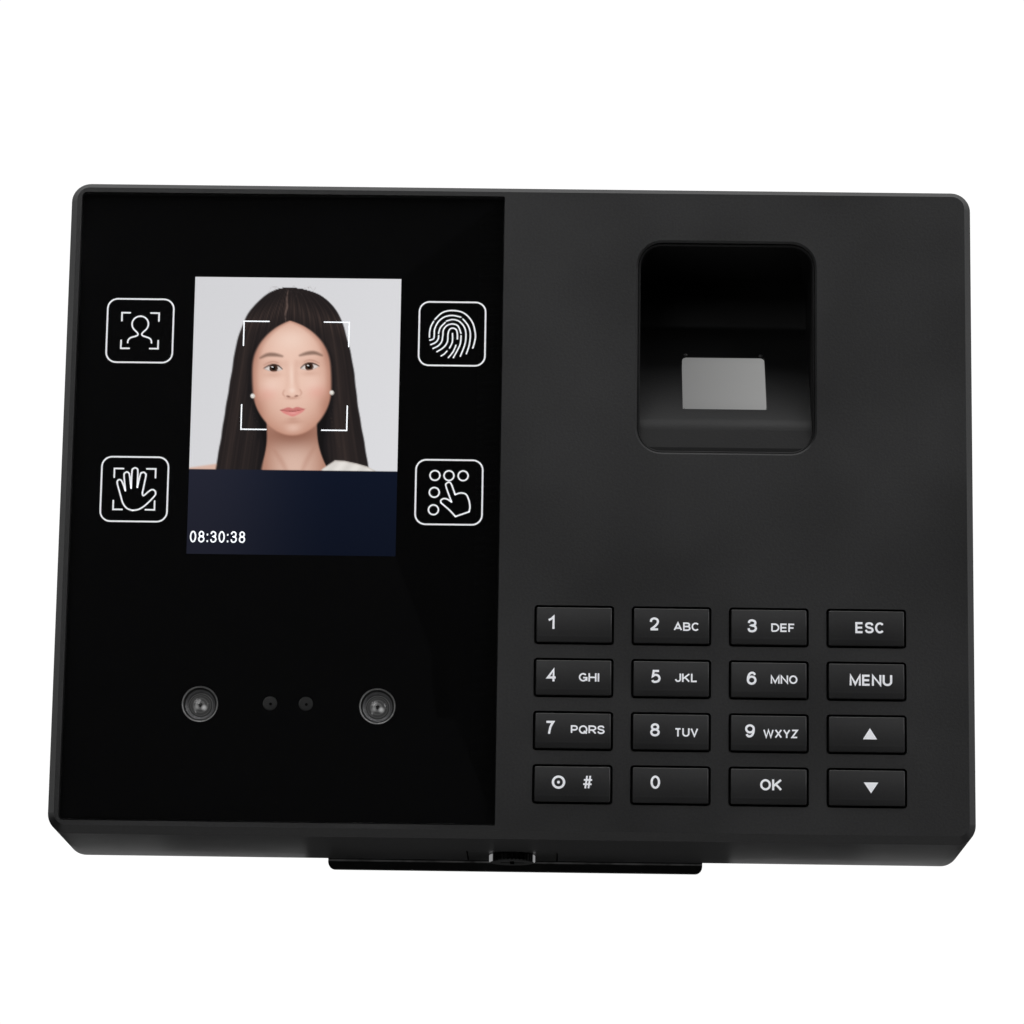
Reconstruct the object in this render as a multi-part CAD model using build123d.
"""Wall-mounted face and fingerprint time-attendance terminal.

Millimetres, +Z up. The wall plane is Y = 0 and the front face looks along -Y. The origin
is the point of the wall plane behind the middle of the box. "Depth" is measured from the
front face into the box, along +Y.
"""
import math
import os

from build123d import *

# ---- driving dimensions -------------------------------------------------------------
BODY_W = 188.0            # outside width of the box
BODY_H = 137.0            # outside height of the box
BODY_D = 38.0             # front face to rear edge of the box
BRACKET_GAP = 0.4         # daylight between the box and its bracket
BRACKET_T = 1.6           # bracket sheet thickness
WALL = 2.2                # moulded wall thickness
CORNER_R = 4.0            # corners of the box, seen from the front
RIM_BEVEL = 1.45          # bevel round the front face, measured across the face
RIM_DEPTH = 2.35          # and along the depth
REAR_ROUND = 0.9          # rounding of the rear edge
FIT = 0.1                 # clearance on each side of a part set into another

GLASS_W = 88.2            # front glass
GLASS_H = 132.0
GLASS_T = 1.8
GLASS_X = -47.4           # middle of the glass
GLASS_LEFT_R = 1.0        # its corners on the left
GLASS_RIGHT_R = 0.35      # and on the right, which are nearly square
MASK_T = 0.15             # printed film behind the glass
TAPE_T = 0.5              # foam tape that holds the glass
APERTURE_W = 72.0         # hole in the shell behind the glass
APERTURE_H = 116.0

SCREEN_W = 43.0           # visible screen
SCREEN_H = 59.0
SCREEN_X = -46.05
SCREEN_Z = 19.0
PANEL_W = 50.0            # whole screen panel
PANEL_H = 69.2
PANEL_T = 2.2

CAMERA_X = (-63.8, -27.6)  # left and right camera
CAMERA_Z = -41.7
CAMERA_R = 3.75           # barrel, which shows as a ring in its window
LENS_R = 2.6
LAMP_X = (-49.5, -42.2)
LAMP_Z = -41.4
LAMP_R = 1.5

BAY_W = 37.5              # finger bay, outside of its bevelled rim
BAY_H = 45.7
BAY_X = 43.1
BAY_Z = 34.15
BAY_R = 5.5
BAY_BEVEL = 0.4
BAY_RIM = 0.45            # visible edge of the scoop inside the shell's bevel
BAY_LEDGE = 0.9           # depth of that edge
BAY_EDGE = 0.2            # bevel on its inner side
BAY_SKIN = 1.6            # moulded thickness of the scoop
BAY_DEPTH = 22.5          # deepest point of the scoop
LIP_DEPTH = 2.5           # where the lip turns into the ramp
LIP_RISE = 6.2
RAMP_TILT = 38.0          # ramp's lean back from the front face, degrees
CEILING_DROP = 2.2        # how far the ceiling comes down at the back
PRISM_W = 17.3            # sensor window
PRISM_L = 17.5            # along the ramp
PRISM_START = 4.9         # along the ramp, from the lip to the window
PRISM_R = 1.0             # its corners
PRISM_T = 7.0

KEY_PITCH_X = 19.84
KEY_PITCH_Z = 10.92
KEY_HOLE_W = 16.3
KEY_HOLE_H = 8.15
KEY_HOLE_R = 0.75
KEY_GAP = 0.48            # groove round a key
KEY_EDGE = 0.22           # rounding of the key top's edges
KEY_X = 42.07             # middle of the keypad
KEY_Z = -41.1
KEY_PROUD = 0.6           # key top above the face
KEY_CROWN_R = 22.0        # curve of the key top, from its upper to its lower edge
KEY_LIP = 0.5             # flange that keeps a key in
KEY_TRAVEL = 0.8
KEY_NAMES = (
    ("key_1", "key_2", "key_3", "key_esc"),
    ("key_4", "key_5", "key_6", "key_menu"),
    ("key_7", "key_8", "key_9", "key_up"),
    ("key_hash", "key_0", "key_ok", "key_down"),
)
MAT_TOP = 4.6             # depth of the rubber domes
MAT_FLAT = 5.6
KEYBOARD_DEPTH = 7.0
BOARD_T = 1.2

MAIN_DEPTH = 12.0         # front side of the main board
MAIN_T = 1.6
MAIN_X = (-89.5, 6.0)
MAIN_Z = (-54.0, 54.0)

BRACKET_LEFT = -39.0      # the box hangs half a millimetre off the middle of its bracket
BRACKET_RIGHT = 40.0
BRACKET_BOTTOM = -70.6
BRACKET_TOP = 56.0
WALL_HOLE = 60.0          # spacing of the wall screws, both ways
WALL_HOLE_R = 2.2
WINDOW = (-25.0, 25.0, -32.0, -6.0)     # cable window in the bracket
POCKET = (-28.0, 28.0, -36.0, -4.0)     # connector pocket in the rear cover
POCKET_DEPTH = 12.0
HOOK_X = 28.0
HOOK_W = 10.0
HOOK_Z = 46.0
HOOK_REACH = 7.0
TONGUE_W = 18.4
TONGUE_LEN = 16.0
TONGUE_T = 1.2
TONGUE_RISE = 0.1         # tongue's underside above the bottom of the box
TONGUE_FIT = 0.3          # clearance round the tongue in its recess

LOCK_DEPTH = 28.0         # lock screw axis
LOCK_HEAD_R = 4.8
LOCK_HEAD_H = 1.7
LOCK_R = 2.0
CASE_POST_R = 3.3
CASE_POSTS = ((-87.5, 62.0), (87.5, 62.0), (-87.5, -62.0), (87.5, -62.0), (-0.5, 62.0))
BOARD_POSTS = ((-86.5, 50.0), (-86.5, -50.0), (-6.5, 50.0), (-6.5, -50.0))
KEY_POSTS = ((0.8, -22.0), (0.8, -56.0), (83.2, -22.0), (83.2, -56.0))

SPEAKER_X = 60.0
SPEAKER_Z = -34.0
SPEAKER_R = 14.0
TAMPER_X = -30.0
TAMPER_Z = 38.0
TAMPER_R = 1.2
USB_Z = -33.5
USB_W = 13.1
USB_H = 5.7
NET_X = -7.0
NET_Z = -20.0
POWER_X = -21.0

# ---- worked out from the above ------------------------------------------------------
Y_FRONT = -(BODY_D + BRACKET_GAP + BRACKET_T)
COVER_DEPTH = BODY_D - WALL
PLATE_DEPTH = BODY_D + BRACKET_GAP
LEDGE_DEPTH = GLASS_T + MASK_T + TAPE_T
KEY_STEM_END = MAT_TOP - KEY_TRAVEL - 0.1
BOTTOM = -BODY_H / 2
TONGUE_FRONT = PLATE_DEPTH - TONGUE_LEN


def y_at(depth):
    """Y coordinate of a depth behind the front face."""
    return Y_FRONT + depth


def slab(x0, x1, d0, d1, z0, z1):
    """Box between two X, two depths and two Z."""
    middle = Pos((x0 + x1) / 2, y_at((d0 + d1) / 2), (z0 + z1) / 2)
    return middle * Box(x1 - x0, d1 - d0, z1 - z0)


def face_plane(x, depth, z):
    """Plane parallel to the front face, looking out of the box."""
    return Plane(origin=(x, y_at(depth), z), x_dir=(1, 0, 0), z_dir=(0, -1, 0))


def panel(x, z, width, height, d0, d1, radius):
    """Plate with rounded corners, parallel to the front face."""
    outline = face_plane(x, d1, z) * RectangleRounded(width, height, radius)
    return extrude(outline, d1 - d0)


def glass_plate(grow, d0, d1):
    """Plate with the outline of the glass, grown on every side."""
    width = GLASS_W + 2 * grow
    height = GLASS_H + 2 * grow
    plate = panel(GLASS_X, 0, width, height, d0, d1, GLASS_LEFT_R + grow)
    return plate + panel(GLASS_X + width / 4, 0, width / 2, height, d0, d1, GLASS_RIGHT_R + grow)


def disc(x, z, radius, d0, d1):
    """Round post or hole along the depth."""
    return extrude(face_plane(x, d1, z) * Circle(radius), d1 - d0)


def post(x, y, radius, z0, z1):
    """Round post or hole along Z."""
    return Pos(x, y, (z0 + z1) / 2) * Cylinder(radius, z1 - z0)


def side_profile(points, x0, x1):
    """Extrude a (depth, Z) outline from x0 to x1."""
    plane = Plane(origin=(x0, 0, 0), x_dir=(0, 1, 0), z_dir=(1, 0, 0))
    outline = Polyline([(y_at(depth), z) for depth, z in points], close=True)
    return extrude(plane * make_face(outline), x1 - x0)


def edges_at(shape, depth, x_range, z_range):
    """Edges that lie at one depth inside a window of X and Z."""
    y = y_at(depth)
    found = shape.edges().filter_by_position(Axis.Y, y - 0.01, y + 0.01)
    found = found.filter_by_position(Axis.X, *x_range)
    return found.filter_by_position(Axis.Z, *z_range)


def key_centre(row, column):
    """X and Z of one key, counted from the upper left."""
    x = KEY_X + (column - 1.5) * KEY_PITCH_X
    z = KEY_Z - (row - 1.5) * KEY_PITCH_Z
    return x, z


def key_places():
    """Name, X and Z of every key."""
    places = []
    for row, names in enumerate(KEY_NAMES):
        for column, name in enumerate(names):
            places.append((name, *key_centre(row, column)))
    return places


# ---- case ---------------------------------------------------------------------------
def make_front_shell():
    body = panel(0, 0, BODY_W, BODY_H, 0, BODY_D, CORNER_R)
    half_w, half_h = BODY_W / 2 + 1, BODY_H / 2 + 1
    rim = edges_at(body, 0, (-half_w, half_w), (-half_h, half_h))
    face = body.faces().sort_by(Axis.Y)[0]
    body = chamfer(rim, RIM_BEVEL, RIM_DEPTH, reference=face)
    rear_rim = edges_at(body, BODY_D, (-half_w, half_w), (-half_h, half_h))
    body = fillet(rear_rim, REAR_ROUND)
    inside = panel(0, 0, BODY_W - 2 * WALL, BODY_H - 2 * WALL, WALL, BODY_D + 1, CORNER_R - WALL)
    body -= inside

    # finger bay and keys
    hole_w = BAY_W - 2 * BAY_BEVEL
    hole_h = BAY_H - 2 * BAY_BEVEL
    body -= panel(BAY_X, BAY_Z, hole_w, hole_h, -1, WALL + 1, BAY_R - BAY_BEVEL)
    for _, x, z in key_places():
        body -= panel(x, z, KEY_HOLE_W, KEY_HOLE_H, -1, WALL + 1, KEY_HOLE_R)
    half = hole_w / 2 + 0.5
    bay_rim = edges_at(body, 0, (BAY_X - half, BAY_X + half), (BAY_Z - 24, BAY_Z + 24))
    body = chamfer(bay_rim, BAY_BEVEL)

    # thicker land behind the glass, and posts for the three sets of screws
    body += slab(GLASS_X - 45.2, GLASS_X + 46.4, WALL, WALL + 2.4, -67.0, 67.0)
    for x, z in CASE_POSTS:
        body += disc(x, z, CASE_POST_R, WALL, COVER_DEPTH)
        body -= disc(x, z, 1.3, WALL + 16, COVER_DEPTH + 1)
    for x, z in BOARD_POSTS:
        body += disc(x, z, 2.6, WALL + 1, MAIN_DEPTH)
        body -= disc(x, z, 0.95, WALL + 3, MAIN_DEPTH + 1)
    for x, z in KEY_POSTS:
        body += disc(x, z, 2.2, WALL - 0.5, KEYBOARD_DEPTH)
        body -= disc(x, z, 0.95, WALL + 0.6, KEYBOARD_DEPTH + 1)

    # glass pocket, and the hole through the land behind it
    body -= glass_plate(FIT, -1, LEDGE_DEPTH)
    body -= panel(GLASS_X, 0, APERTURE_W, APERTURE_H, 0, WALL + 4, 3.0)

    # boss, recess and hole for the lock screw in the bottom wall
    body += slab(-8, 8, TONGUE_FRONT - 1.0, COVER_DEPTH, BOTTOM, BOTTOM + 10.5)
    recess_half = TONGUE_W / 2 + TONGUE_FIT
    recess_top = BOTTOM + TONGUE_RISE + TONGUE_T + TONGUE_FIT
    body -= slab(-recess_half, recess_half, TONGUE_FRONT - TONGUE_FIT, BODY_D + 1, BOTTOM - 1, recess_top)
    body -= post(0, y_at(LOCK_DEPTH), 3.0, BOTTOM - 1, BOTTOM + 9.5)

    # USB slot in the left wall
    body -= slab(
        -BODY_W / 2 - 1,
        -BODY_W / 2 + WALL + 1,
        MAIN_DEPTH + MAIN_T - 0.2,
        MAIN_DEPTH + MAIN_T + USB_H + 0.2,
        USB_Z - USB_W / 2 - 0.2,
        USB_Z + USB_W / 2 + 0.2,
    )
    return body


def make_rear_cover():
    clear = 2 * WALL + 0.4
    cover = panel(0, 0, BODY_W - clear, BODY_H - clear, COVER_DEPTH, BODY_D, CORNER_R - WALL)
    x0, x1, z0, z1 = POCKET
    floor = BODY_D - POCKET_DEPTH
    cover += slab(x0 - 1.8, x1 + 1.8, floor - 1.8, COVER_DEPTH, z0 - 1.8, z1 + 1.8)
    cover -= slab(x0, x1, floor, BODY_D + 1, z0, z1)

    # recess at the lower edge, round the lock screw's boss and the bracket's tongue
    recess_half = TONGUE_W / 2 + TONGUE_FIT
    cover -= slab(-recess_half, recess_half, COVER_DEPTH - 1, BODY_D + 1, BOTTOM, BOTTOM + 11)

    # jack openings in the pocket's floor
    cover -= slab(NET_X - 8.2, NET_X + 8.2, floor - 3, floor + 1, NET_Z - 7.2, NET_Z + 7.2)
    cover -= slab(POWER_X - 4.8, POWER_X + 4.8, floor - 3, floor + 1, NET_Z - 4.8, NET_Z + 4.8)

    # slots for the bracket's hooks, hole for the tamper plunger, counterbored screw holes
    for side in (-1, 1):
        middle = side * HOOK_X
        cover -= slab(
            middle - HOOK_W / 2 - 0.6,
            middle + HOOK_W / 2 + 0.6,
            COVER_DEPTH - 1,
            BODY_D + 1,
            HOOK_Z - 6.0,
            HOOK_Z + 1.8,
        )
    cover -= disc(TAMPER_X, TAMPER_Z, TAMPER_R + 0.3, COVER_DEPTH - 1, BODY_D + 1)
    for x, z in CASE_POSTS:
        cover -= disc(x, z, 1.7, COVER_DEPTH - 1, BODY_D + 1)
        cover -= disc(x, z, 3.0, BODY_D - 1.4, BODY_D + 1)

    # speaker slots, and a shallow blank label recess
    for index in range(7):
        x = SPEAKER_X + (index - 3) * 3.2
        reach = math.sqrt(max(0.0, 11.0**2 - (x - SPEAKER_X) ** 2))
        cover -= panel(x, SPEAKER_Z, 1.4, 2 * reach, COVER_DEPTH - 1, BODY_D + 1, 0.6)
    cover -= panel(-65, -20, 38, 24, BODY_D - 0.3, BODY_D + 1, 1.5)
    return cover


def make_front_glass():
    glass = glass_plate(0, 0, GLASS_T)
    rim = edges_at(glass, 0, (-100, 10), (-70, 70))
    return chamfer(rim, 0.2)


def make_ink_mask():
    d0, d1 = GLASS_T, GLASS_T + MASK_T
    mask = glass_plate(-0.2, d0, d1)
    mask -= slab(
        SCREEN_X - SCREEN_W / 2,
        SCREEN_X + SCREEN_W / 2,
        d0 - 1,
        d1 + 1,
        SCREEN_Z - SCREEN_H / 2,
        SCREEN_Z + SCREEN_H / 2,
    )
    for x in CAMERA_X:
        mask -= disc(x, CAMERA_Z, CAMERA_R, d0 - 1, d1 + 1)
    for x in LAMP_X:
        mask -= disc(x, LAMP_Z, LAMP_R, d0 - 1, d1 + 1)
    return mask


def make_glass_tape():
    d0, d1 = GLASS_T + MASK_T, LEDGE_DEPTH
    tape = panel(GLASS_X, 0, GLASS_W - 1.4, GLASS_H - 1.4, d0, d1, 1.0)
    tape -= panel(GLASS_X, 0, APERTURE_W + 6, APERTURE_H + 6, d0 - 1, d1 + 1, 1.0)
    return tape


# ---- screen -------------------------------------------------------------------------
def make_lcd_panel():
    d0 = GLASS_T + MASK_T + 0.05
    return panel(SCREEN_X, SCREEN_Z - 1.2, PANEL_W, PANEL_H, d0, d0 + PANEL_T, 0.6)


def make_lcd_frame():
    front = GLASS_T + MASK_T + 0.8
    back = GLASS_T + MASK_T + 0.05 + PANEL_T
    x, z = SCREEN_X, SCREEN_Z - 1.2
    frame = panel(x, z, PANEL_W + 1.4, PANEL_H + 1.4, front, back + 0.9, 1.0)
    frame -= panel(x, z, PANEL_W + 0.2, PANEL_H + 0.2, front - 1, back, 0.6)
    return frame


def make_lcd_flex():
    back = GLASS_T + MASK_T + 0.95 + PANEL_T
    low = SCREEN_Z - 1.2 - PANEL_H / 2
    x0, x1 = SCREEN_X - 9, SCREEN_X + 9
    flex = slab(x0, x1, back, back + 0.3, low + 2, low + 18)
    flex += slab(x0, x1, back, MAIN_DEPTH, low + 17.7, low + 18)
    return flex


# ---- cameras and lamps --------------------------------------------------------------
def make_camera(x):
    """Barrel with a stepped, conical mouth in front of its lens, on a square base."""
    front = GLASS_T + MASK_T + 0.05
    barrel = disc(x, CAMERA_Z, CAMERA_R + 0.35, front, 7.0)
    barrel += slab(x - 4.25, x + 4.25, 5.0, 8.0, CAMERA_Z - 4.25, CAMERA_Z + 4.25)
    mouth = face_plane(x, front + 1.4, CAMERA_Z) * Circle(LENS_R + 0.1)
    lip = face_plane(x, front, CAMERA_Z) * Circle(CAMERA_R - 0.25)
    barrel -= loft([mouth, lip])
    barrel -= disc(x, CAMERA_Z, LENS_R + 0.1, front + 1.3, 6.5)
    return barrel


def make_lens(x):
    """Front lens: a cylinder with a domed face."""
    front = GLASS_T + MASK_T + 1.3
    blank = disc(x, CAMERA_Z, LENS_R, front, 6.4)
    dome_r = 4.2
    dome = Pos(x, y_at(front + dome_r), CAMERA_Z) * Sphere(dome_r)
    keep = disc(x, CAMERA_Z, LENS_R, front + 1.2, 6.4)
    return blank & (dome + keep)


def make_camera_board():
    return slab(-71.0, -20.4, 8.0, 9.0, CAMERA_Z - 6.0, CAMERA_Z + 6.0)


def make_camera_flex():
    return slab(-49.9, -41.9, 9.0, MAIN_DEPTH, CAMERA_Z - 3.2, CAMERA_Z - 2.9)


def make_ir_leds():
    """Two lamps: a domed bead on a flange and two legs down to the board."""
    lamps = Part()
    for x in LAMP_X:
        tip = GLASS_T + MASK_T + 0.25
        bead = disc(x, LAMP_Z, LAMP_R - 0.1, tip + LAMP_R, 6.0)
        bead += Pos(x, y_at(tip + LAMP_R), LAMP_Z) * Sphere(LAMP_R - 0.1)
        bead += disc(x, LAMP_Z, LAMP_R + 0.2, 5.4, 6.0)
        for side in (-0.7, 0.7):
            bead += slab(x + side - 0.2, x + side + 0.2, 6.0, 8.0, LAMP_Z - 0.2, LAMP_Z + 0.2)
        lamps += bead
    return lamps


# ---- finger bay and sensor ----------------------------------------------------------
TILT = math.radians(RAMP_TILT)
BAY_LOW = BAY_Z - BAY_H / 2 + BAY_BEVEL + 0.1 + BAY_RIM
BAY_HIGH = BAY_Z + BAY_H / 2 - BAY_BEVEL - 0.1 - BAY_RIM
LIP_Z = BAY_LOW + LIP_RISE
RAMP_TOP_Z = LIP_Z + (BAY_DEPTH - LIP_DEPTH) / math.tan(TILT)
BAY_IN_W = BAY_W - 2 * (BAY_BEVEL + 0.1 + BAY_RIM)


def bay_outline(grow):
    """(depth, Z) outline of the scoop's hollow, grown outwards by a skin thickness."""
    ramp_shift = grow / math.cos(TILT) * math.sin(TILT)
    back = BAY_DEPTH + grow
    lip_z = LIP_Z - grow * 0.9
    ramp_top = lip_z + (back - LIP_DEPTH - ramp_shift * 0.5) / math.tan(TILT)
    return [
        (BAY_LEDGE, BAY_LOW - grow),
        (LIP_DEPTH + ramp_shift * 0.5, lip_z),
        (back, ramp_top),
        (back, BAY_HIGH - CEILING_DROP + grow),
        (BAY_LEDGE, BAY_HIGH + grow),
    ]


def bay_hollow():
    hollow = side_profile(bay_outline(0), BAY_X - BAY_IN_W / 2, BAY_X + BAY_IN_W / 2)
    lip_edge = hollow.edges().filter_by(Axis.X)
    lip_edge = lip_edge.filter_by_position(Axis.Z, LIP_Z - 0.05, LIP_Z + 0.05)
    hollow = fillet(lip_edge, 7.0)
    ramp_foot = hollow.edges().filter_by(Axis.X)
    ramp_foot = ramp_foot.filter_by_position(Axis.Z, RAMP_TOP_Z - 0.05, RAMP_TOP_Z + 0.05)
    hollow = fillet(ramp_foot, 2.0)
    high = BAY_HIGH - BAY_LOW
    return hollow & panel(BAY_X, (BAY_HIGH + BAY_LOW) / 2, BAY_IN_W, high, BAY_LEDGE - 0.1, 30, BAY_R - 1.0)


def on_ramp(along, inward):
    """Depth and Z of a point on the ramp, measured from the lip and into the material."""
    depth = LIP_DEPTH + along * math.sin(TILT) + inward * math.cos(TILT)
    z = LIP_Z + along * math.cos(TILT) - inward * math.sin(TILT)
    return depth, z


def ramp_block(width, start, end, top, under):
    """Block set square to the ramp, from top to under its surface."""
    corners = [on_ramp(start, top), on_ramp(end, top), on_ramp(end, under), on_ramp(start, under)]
    return side_profile(corners, BAY_X - width / 2, BAY_X + width / 2)


def make_sensor_bay():
    width = BAY_IN_W + 2 * BAY_SKIN
    outer = side_profile(bay_outline(BAY_SKIN), BAY_X - width / 2, BAY_X + width / 2)
    high = BAY_HIGH - BAY_LOW + 2 * BAY_SKIN
    middle = (BAY_HIGH + BAY_LOW) / 2
    outer &= panel(BAY_X, middle, width, high, WALL + 0.1, 30, BAY_R + 0.6)
    rim = panel(
        BAY_X,
        middle,
        BAY_IN_W + 2 * BAY_RIM,
        BAY_HIGH - BAY_LOW + 2 * BAY_RIM,
        BAY_LEDGE,
        WALL + 3,
        BAY_R - 0.6,
    )
    bay = outer + rim - bay_hollow()
    foot = face_plane(BAY_X, BAY_LEDGE + BAY_EDGE, middle)
    mouth = foot * RectangleRounded(BAY_IN_W, BAY_HIGH - BAY_LOW, BAY_R - 1.0)
    bay -= extrude(mouth, BAY_EDGE + 0.05, taper=-45)
    start, end = PRISM_START, PRISM_START + PRISM_L
    bay -= ramp_block(PRISM_W + 2 * FIT, start - FIT, end + FIT, -3, 6)
    return bay


def make_sensor_prism():
    start, end = PRISM_START, PRISM_START + PRISM_L
    prism = ramp_block(PRISM_W, start, end, 0.15, PRISM_T)
    corners = [edge for edge in prism.edges() if abs(edge.length - (PRISM_T - 0.15)) < 0.01]
    return fillet(corners, PRISM_R)


def make_sensor_housing():
    start, end = PRISM_START, PRISM_START + PRISM_L
    housing = ramp_block(PRISM_W + 6, start - 2.5, end + 3, 2.7, PRISM_T + 3)
    return housing - ramp_block(PRISM_W + 0.2, start - 0.1, end + 0.1, 0, PRISM_T)


def make_sensor_board():
    start, end = PRISM_START, PRISM_START + PRISM_L
    return ramp_block(PRISM_W + 5, start - 3, end + 3, PRISM_T + 3, PRISM_T + 4.2)


def make_sensor_flex():
    x0, x1 = BAY_X - 18.5, BAY_X - 12.2
    depth, z = on_ramp(PRISM_START + 6, PRISM_T + 4.2)
    flex = slab(x0, x1, depth, depth + 0.3, z - 14, z)
    return flex + slab(MAIN_X[1] - 8, x1, depth, depth + 0.3, z - 14, z - 8)


# ---- keypad -------------------------------------------------------------------------
def make_key(x, z):
    """Crowned cap, retaining flange and stem."""
    width, height = KEY_HOLE_W - 2 * KEY_GAP, KEY_HOLE_H - 2 * KEY_GAP
    cap = panel(x, z, width, height, -KEY_PROUD, WALL + 0.2, KEY_HOLE_R - KEY_GAP)
    turn = Rot(0, 90, 0)
    crown = Pos(x, y_at(KEY_CROWN_R - KEY_PROUD), z) * turn * Cylinder(KEY_CROWN_R, width + 4)
    cap &= crown
    front = cap.faces().sort_by(Axis.Y)[0]
    cap = fillet(front.edges(), KEY_EDGE)
    cap += panel(
        x,
        z,
        KEY_HOLE_W + 2 * KEY_LIP,
        KEY_HOLE_H + 2 * KEY_LIP,
        WALL + 0.05,
        WALL + 0.75,
        1.0,
    )
    return cap + panel(x, z, 6.0, 3.5, WALL + 0.5, KEY_STEM_END, 0.8)


def make_keypad_mat():
    low = KEY_Z - 1.5 * KEY_PITCH_Z - 4.6
    high = KEY_Z + 1.5 * KEY_PITCH_Z + 4.6
    left = KEY_X - 1.5 * KEY_PITCH_X - 8.6
    right = KEY_X + 1.5 * KEY_PITCH_X + 8.6
    mat = slab(left, right, MAT_FLAT, KEYBOARD_DEPTH, low, high)
    for _, x, z in key_places():
        mat += panel(x, z, 8.0, 4.6, MAT_TOP, MAT_FLAT + 0.2, 1.0)
    return mat


def make_keypad_board():
    board = slab(-1.5, 85.5, KEYBOARD_DEPTH, KEYBOARD_DEPTH + BOARD_T, -64.5, -18.5)
    for x, z in KEY_POSTS:
        board -= disc(x, z, 1.25, KEYBOARD_DEPTH - 1, KEYBOARD_DEPTH + BOARD_T + 1)
    for x, z in CASE_POSTS:
        board -= disc(x, z, CASE_POST_R + 0.4, KEYBOARD_DEPTH - 1, KEYBOARD_DEPTH + BOARD_T + 1)
    return board


def make_keypad_flex():
    under = KEYBOARD_DEPTH + BOARD_T
    return slab(-4.2, 3.8, MAIN_DEPTH - 0.3, MAIN_DEPTH, -36, -30) + slab(
        3.5, 3.8, under, MAIN_DEPTH, -36, -30
    )


# ---- main electronics ---------------------------------------------------------------
def make_main_board():
    board = slab(*MAIN_X, MAIN_DEPTH, MAIN_DEPTH + MAIN_T, *MAIN_Z)
    for x, z in BOARD_POSTS:
        board -= disc(x, z, 1.25, MAIN_DEPTH - 1, MAIN_DEPTH + MAIN_T + 1)
    return board


def make_main_chips():
    """Processor, two memories and the power chip on the rear side of the board."""
    back = MAIN_DEPTH + MAIN_T
    chips = Part()
    for x, z, width, height, tall in (
        (-58, 14, 15, 15, 1.4),
        (-58, 34, 10, 12, 1.2),
        (-40, 14, 10, 12, 1.2),
        (-72, -20, 6, 6, 1.1),
    ):
        half_w, half_h = width / 2, height / 2
        chips += slab(x - half_w, x + half_w, back, back + tall, z - half_h, z + half_h)
    return chips


def make_heat_spreader():
    back = MAIN_DEPTH + MAIN_T + 1.4
    spreader = slab(-66, -50, back, back + 1.5, 6, 22)
    for index in range(6):
        x = -66 + index * 2.96
        spreader += slab(x, x + 1.2, back + 1.4, back + 7, 6, 22)
    return spreader


def make_backup_battery():
    back = MAIN_DEPTH + MAIN_T
    cell = disc(-22, 24, 10.0, back + 0.8, back + 4.0)
    holder = panel(-22, 24, 23, 23, back, back + 3.0, 2.0)
    return holder - disc(-22, 24, 10.0, back + 0.8, back + 4.0) + cell


def make_speaker():
    depth = COVER_DEPTH - 5.5
    speaker = disc(SPEAKER_X, SPEAKER_Z, SPEAKER_R, COVER_DEPTH - 2.0, COVER_DEPTH)
    speaker += disc(SPEAKER_X, SPEAKER_Z, 9.0, depth, COVER_DEPTH - 1.5)
    return speaker - disc(SPEAKER_X, SPEAKER_Z, 11.6, COVER_DEPTH - 1.0, COVER_DEPTH + 1)


def make_usb_port():
    """Socket shell with its contact tongue, mouth in the left wall."""
    d0 = MAIN_DEPTH + MAIN_T
    x0 = -BODY_W / 2 + 0.3
    z0, z1 = USB_Z - USB_W / 2, USB_Z + USB_W / 2
    shell = slab(x0, x0 + 14, d0, d0 + USB_H, z0, z1)
    shell -= slab(x0 - 1, x0 + 12, d0 + 0.35, d0 + USB_H - 0.35, z0 + 0.35, z1 - 0.35)
    return shell + slab(x0 + 1.2, x0 + 13, d0 + 0.9, d0 + 2.7, z0 + 1.1, z1 - 1.1)


def make_net_jack():
    """Network socket, standing on the board with its mouth in the pocket's floor."""
    d0 = MAIN_DEPTH + MAIN_T
    top = BODY_D - POCKET_DEPTH + 1.5
    jack = slab(NET_X - 8, NET_X + 8, d0, top, NET_Z - 7, NET_Z + 7)
    jack -= slab(NET_X - 5.9, NET_X + 5.9, top - 9.5, top + 1, NET_Z - 3.4, NET_Z + 3.4)
    jack -= slab(NET_X - 3.0, NET_X + 3.0, top - 9.5, top + 1, NET_Z - 5.6, NET_Z - 3.0)
    return jack


def make_dc_inlet():
    """Barrel inlet with its centre pin."""
    d0 = MAIN_DEPTH + MAIN_T
    top = BODY_D - POCKET_DEPTH + 1.5
    inlet = slab(POWER_X - 4.5, POWER_X + 4.5, d0, top, NET_Z - 4.5, NET_Z + 4.5)
    inlet -= disc(POWER_X, NET_Z, 3.1, top - 9, top + 1)
    return inlet + disc(POWER_X, NET_Z, 1.0, d0 + 1, top - 0.6)


def make_tamper_switch():
    """Switch block on the cover's inner side, hollow for its plunger."""
    block = slab(
        TAMPER_X - 6.4, TAMPER_X + 6.4, COVER_DEPTH - 7, COVER_DEPTH, TAMPER_Z - 3.2, TAMPER_Z + 3.2
    )
    block -= disc(TAMPER_X, TAMPER_Z, TAMPER_R + 0.3, COVER_DEPTH - 4, COVER_DEPTH + 1)
    return block - disc(TAMPER_X, TAMPER_Z, 2.3, COVER_DEPTH - 5, COVER_DEPTH - 1.4)


def make_tamper_plunger():
    tip = PLATE_DEPTH - 0.05
    plunger = disc(TAMPER_X, TAMPER_Z, TAMPER_R, COVER_DEPTH - 3.4, tip)
    return plunger + disc(TAMPER_X, TAMPER_Z, 2.0, COVER_DEPTH - 3.4, COVER_DEPTH - 2.6)


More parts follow.
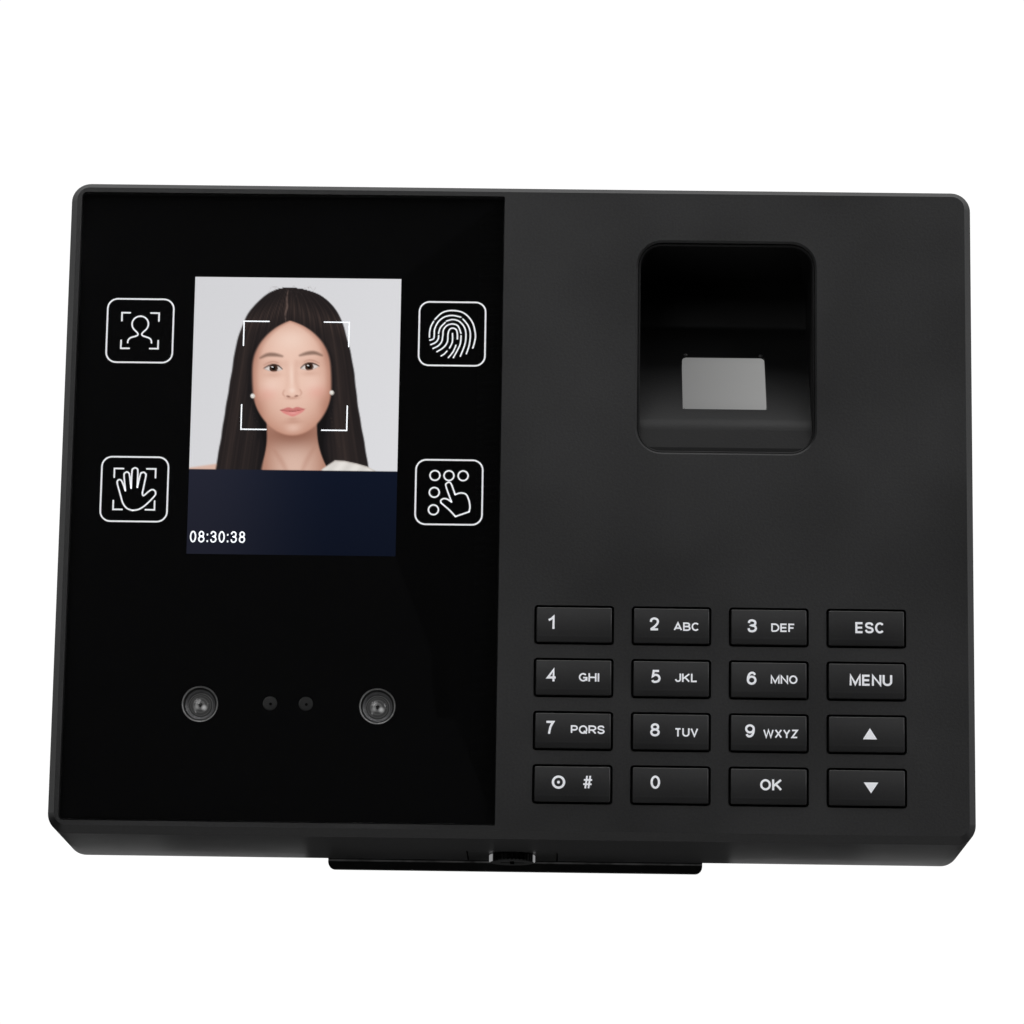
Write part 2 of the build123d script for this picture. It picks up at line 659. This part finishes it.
# ---- bracket and fasteners ----------------------------------------------------------
def make_wall_bracket():
    height = BRACKET_TOP - BRACKET_BOTTOM
    x_mid = (BRACKET_LEFT + BRACKET_RIGHT) / 2
    z_mid = (BRACKET_TOP + BRACKET_BOTTOM) / 2
    width = BRACKET_RIGHT - BRACKET_LEFT
    bracket = panel(x_mid, z_mid, width, height, PLATE_DEPTH, PLATE_DEPTH + BRACKET_T, 1.5)
    x0, x1, z0, z1 = WINDOW
    bracket -= slab(x0, x1, PLATE_DEPTH - 1, PLATE_DEPTH + BRACKET_T + 1, z0, z1)
    for x in (-WALL_HOLE / 2, WALL_HOLE / 2):
        for z in (-WALL_HOLE / 2, WALL_HOLE / 2):
            bracket -= disc(x, z, WALL_HOLE_R, PLATE_DEPTH - 1, PLATE_DEPTH + BRACKET_T + 1)

    # hooks: a neck through the cover's slot and a lip up behind the cover
    for side in (-1, 1):
        x0 = side * HOOK_X - HOOK_W / 2
        x1 = x0 + HOOK_W
        lip = COVER_DEPTH - 0.4
        bracket += slab(x0, x1, lip - 1.2, PLATE_DEPTH + 0.2, HOOK_Z, HOOK_Z + 1.4)
        bracket += slab(x0, x1, lip - 1.2, lip, HOOK_Z, HOOK_Z + HOOK_REACH)

    # tongue under the box, drilled for the lock screw
    low = BOTTOM + TONGUE_RISE
    half = TONGUE_W / 2
    tongue = slab(-half, half, TONGUE_FRONT, PLATE_DEPTH + 0.2, low, low + TONGUE_T)
    tongue -= post(0, y_at(LOCK_DEPTH), LOCK_R + 0.3, low - 1, low + TONGUE_T + 1)
    return bracket + tongue


def make_lock_screw():
    """Cheese-head screw with a knurled rim and a cross recess."""
    y = y_at(LOCK_DEPTH)
    top = BOTTOM + TONGUE_RISE
    head = post(0, y, LOCK_HEAD_R, top - LOCK_HEAD_H, top)
    head = chamfer(head.edges().filter_by(GeomType.CIRCLE), 0.25)
    teeth = 36
    for index in range(teeth):
        angle = 2 * math.pi * index / teeth
        x, dy = LOCK_HEAD_R * math.cos(angle), LOCK_HEAD_R * math.sin(angle)
        head -= post(x, y + dy, 0.16, top - LOCK_HEAD_H - 1, top + 1)
    low = top - LOCK_HEAD_H
    for half_w, half_d in ((2.4, 0.45), (0.45, 2.4)):
        head -= slab(-half_w, half_w, LOCK_DEPTH - half_d, LOCK_DEPTH + half_d, low - 1, low + 0.9)
    return head + post(0, y, LOCK_R, top - 0.2, BOTTOM + 8.6)


def make_lock_insert():
    """Threaded brass insert for the lock screw."""
    y = y_at(LOCK_DEPTH)
    insert = post(0, y, 2.95, BOTTOM + TONGUE_T + 0.6, BOTTOM + 9.2)
    return insert - post(0, y, LOCK_R + 0.03, BOTTOM, BOTTOM + 10)


def rear_screw(x, z, seat, head_r, head_t, shank_r, length):
    """Pan-head screw along the depth, its head towards the rear."""
    head = disc(x, z, head_r, seat, seat + head_t)
    head = chamfer(edges_at(head, seat + head_t, (x - 9, x + 9), (z - 9, z + 9)), head_t * 0.3)
    for half_w, half_h in ((head_r * 0.6, 0.25), (0.25, head_r * 0.6)):
        head -= slab(x - half_w, x + half_w, seat + head_t * 0.4, seat + 9, z - half_h, z + half_h)
    return head + disc(x, z, shank_r, seat - length, seat + 0.1)


def make_screws(places, *sizes):
    group = Part()
    for x, z in places:
        group += rear_screw(x, z, *sizes)
    return group


# ---- the whole object ---------------------------------------------------------------
def all_parts():
    parts = {
        "front_shell": make_front_shell(),
        "rear_cover": make_rear_cover(),
        "front_glass": make_front_glass(),
        "ink_mask": make_ink_mask(),
        "glass_tape": make_glass_tape(),
        "lcd_panel": make_lcd_panel(),
        "lcd_frame": make_lcd_frame(),
        "lcd_flex": make_lcd_flex(),
        "camera_board": make_camera_board(),
        "camera_flex": make_camera_flex(),
        "ir_leds": make_ir_leds(),
        "sensor_bay": make_sensor_bay(),
        "sensor_prism": make_sensor_prism(),
        "sensor_housing": make_sensor_housing(),
        "sensor_board": make_sensor_board(),
        "sensor_flex": make_sensor_flex(),
        "keypad_mat": make_keypad_mat(),
        "keypad_board": make_keypad_board(),
        "keypad_flex": make_keypad_flex(),
        "main_board": make_main_board(),
        "main_chips": make_main_chips(),
        "heat_spreader": make_heat_spreader(),
        "backup_battery": make_backup_battery(),
        "speaker": make_speaker(),
        "usb_port": make_usb_port(),
        "net_jack": make_net_jack(),
        "dc_inlet": make_dc_inlet(),
        "tamper_switch": make_tamper_switch(),
        "tamper_plunger": make_tamper_plunger(),
        "wall_bracket": make_wall_bracket(),
        "lock_screw": make_lock_screw(),
        "lock_insert": make_lock_insert(),
        "case_screws": make_screws(CASE_POSTS, BODY_D - 1.4, 2.7, 1.3, 1.25, 10.0),
        "board_screws": make_screws(BOARD_POSTS, MAIN_DEPTH + MAIN_T, 2.1, 1.2, 0.9, 7.0),
        "keypad_screws": make_screws(KEY_POSTS, KEYBOARD_DEPTH + BOARD_T, 2.1, 1.2, 0.9, 4.6),
    }
    for side, x in zip(("left", "right"), CAMERA_X):
        parts[f"camera_{side}"] = make_camera(x)
        parts[f"lens_{side}"] = make_lens(x)
    for name, x, z in key_places():
        parts[name] = make_key(x, z)
    return parts


os.makedirs("parts", exist_ok=True)
for node, shape in all_parts().items():
    export_step(shape, f"parts/{node}.step")
